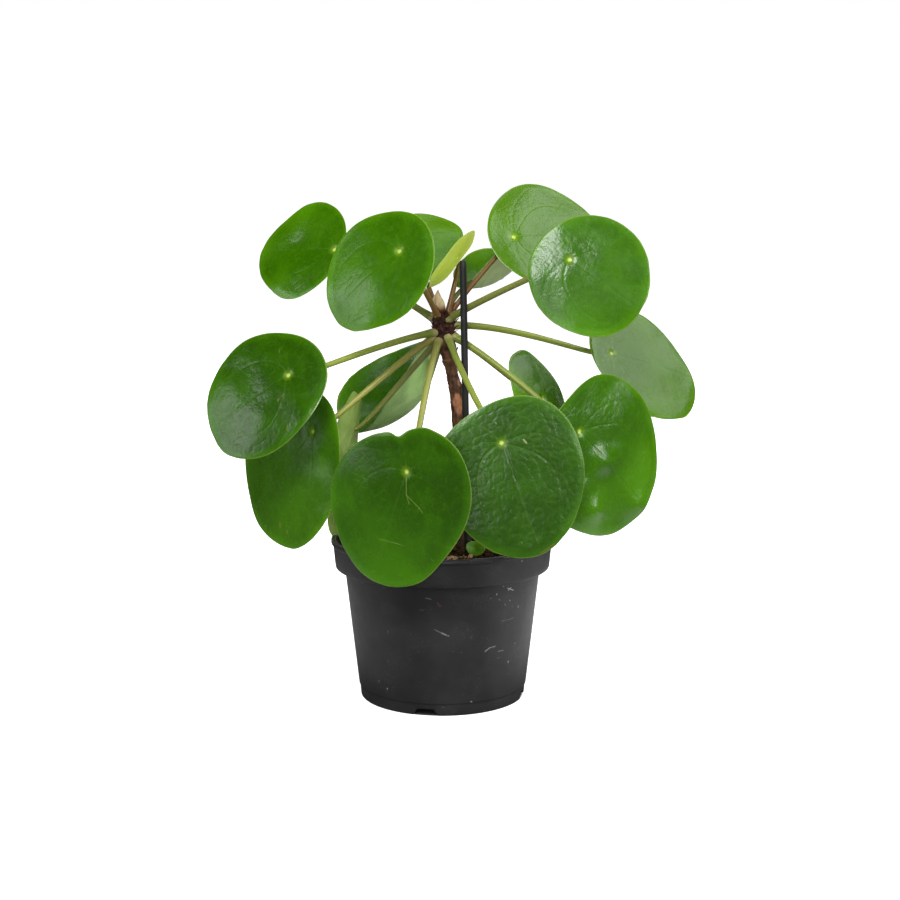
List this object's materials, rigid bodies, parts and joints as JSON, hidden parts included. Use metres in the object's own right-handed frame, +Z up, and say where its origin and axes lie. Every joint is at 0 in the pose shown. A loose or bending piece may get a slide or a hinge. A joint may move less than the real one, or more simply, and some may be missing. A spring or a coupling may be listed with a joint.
{
  "type": "potted pilea plant",
  "caption": "Houseplant with round, shield-like leaves on long stalks round a short woody trunk, growing in soil in a tapered nursery pot with a stake.",
  "frame": {"origin": "middle of the flat underside of the pot, on the surface it stands on", "axes": "+Z up along the pot's axis, -Y towards the viewer of the picture, +X to the viewer's right"},
  "size_m": [0.2653, 0.176, 0.2748],
  "materials": {
    "pot_plastic": "charcoal nursery pot plastic, satin, with fine scuffs and dust",
    "moist_soil": null,
    "bark": "rough grey-brown bark with leaf scars and dry bracts",
    "stake_plastic": "black plastic plant stake, satin",
    "bud": null,
    "stalk": null,
    "blade": null,
    "young_blade": null
  },
  "bodies": {
    "root": {"pot": "pot_plastic", "soil": "moist_soil", "trunk": "bark", "stake": "stake_plastic", "bud": "bud", "leaf_top_left": "blade", "stalk_top_left": "stalk", "leaf_upper_left": "blade", "stalk_upper_left": "stalk", "leaf_upper_back": "blade", "stalk_upper_back": "stalk", "leaf_young": "young_blade", "stalk_young": "stalk", "leaf_upper_back_right": "blade", "stalk_upper_back_right": "stalk", "leaf_top_right": "blade", "stalk_top_right": "stalk", "leaf_upper_right": "blade", "stalk_upper_right": "stalk", "leaf_far_right": "blade", "stalk_far_right": "stalk", "leaf_low_right": "blade", "stalk_low_right": "stalk", "leaf_back_right": "blade", "stalk_back_right": "stalk", "leaf_front_right": "blade", "stalk_front_right": "stalk", "leaf_front_left": "blade", "stalk_front_left": "stalk", "leaf_low_left": "blade", "stalk_low_left": "stalk", "leaf_far_left": "blade", "stalk_far_left": "stalk", "leaf_edge_left": "blade", "stalk_edge_left": "stalk", "leaf_back_left": "blade", "stalk_back_left": "stalk", "plantlet_leaf": "blade", "plantlet_stalk": "stalk"}
  },
  "joints": []
}
